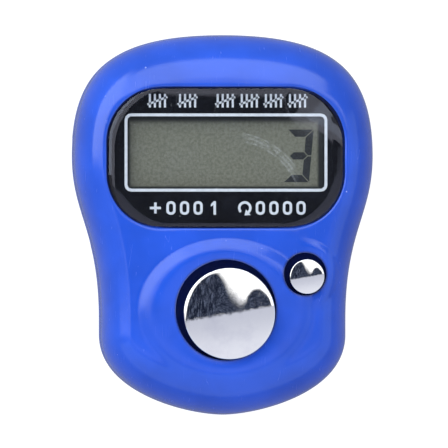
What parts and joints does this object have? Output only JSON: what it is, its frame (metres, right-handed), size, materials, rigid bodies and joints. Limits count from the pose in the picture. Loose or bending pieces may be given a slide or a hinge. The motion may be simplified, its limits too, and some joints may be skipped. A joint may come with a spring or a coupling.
{
  "type": "hand tally counter",
  "caption": "Palm-size electronic tally counter with a curved two-part plastic case, a display behind a dark-bordered window and two sprung push buttons.",
  "frame": {"origin": "on the surface the counter lies on, under the middle of its outline", "axes": "+Z out of the face, the way the buttons rise; +Y along the case towards the display end; +X across the case towards the reset button"},
  "size_m": [0.03, 0.038, 0.0136],
  "materials": {
    "case_front": "blue moulded plastic, satin gloss with a very fine texture",
    "case_back": "blue moulded plastic, satin gloss with a very fine texture",
    "lens": "clear acrylic, polished, fine scratches",
    "print": "black screen print with white line work",
    "adhesive": "double-sided tape",
    "display_film": "grey-green polarising film",
    "display_glass": "thin float glass",
    "reflector": "metallised film",
    "connector_rubber": "layered conductive silicone",
    "board": "green solder mask",
    "epoxy": "black epoxy",
    "component": "ceramic body",
    "gold_contact": "gold flashed",
    "screw_steel": "nickel plated",
    "cell_steel": "nickel-plated steel",
    "gasket": "translucent nylon",
    "button_chrome": "bright chrome plating on plastic",
    "carbon": "carbon-loaded silicone",
    "silicone": "translucent silicone"
  },
  "bodies": {
    "case": {"front_case": "case_front", "back_case": "case_back", "window_lens": "lens", "window_print": "print", "lens_adhesive": "adhesive", "lcd_front_polariser": "display_film", "lcd_front_glass": "display_glass", "lcd_rear_glass": "display_glass", "lcd_reflector": "reflector", "zebra_connector": "connector_rubber", "circuit_board": "board", "chip_blob": "epoxy", "smd_capacitor": "component", "smd_resistor": "component", "count_contact_pad": "gold_contact", "reset_contact_pad": "gold_contact", "board_screw_1": "screw_steel", "board_screw_2": "screw_steel", "board_screw_3": "screw_steel", "board_screw_4": "screw_steel", "case_screw_1": "screw_steel", "case_screw_2": "screw_steel", "case_screw_3": "screw_steel", "button_cell_can": "cell_steel", "button_cell_gasket": "gasket", "button_cell_cap": "cell_steel", "battery_contact_negative": "gold_contact", "battery_contact_positive": "gold_contact", "count_dome": "silicone", "reset_dome": "silicone"},
    "count_key": {"count_button": "button_chrome", "count_carbon_pill": "carbon"},
    "reset_key": {"reset_button": "button_chrome", "reset_carbon_pill": "carbon"}
  },
  "joints": [
    {"name": "count_press", "type": "slide", "parent": "case", "child": "count_key", "axis": [0, 0, -1], "range_m": [0, 0.0008], "stiffness_N_per_m": 1500, "springref_m": -0.0003, "deforming": ["count_dome"]},
    {"name": "reset_press", "type": "slide", "parent": "case", "child": "reset_key", "axis": [0, 0, -1], "range_m": [0, 0.0008], "stiffness_N_per_m": 1500, "springref_m": -0.0003, "deforming": ["reset_dome"]}
  ]
}
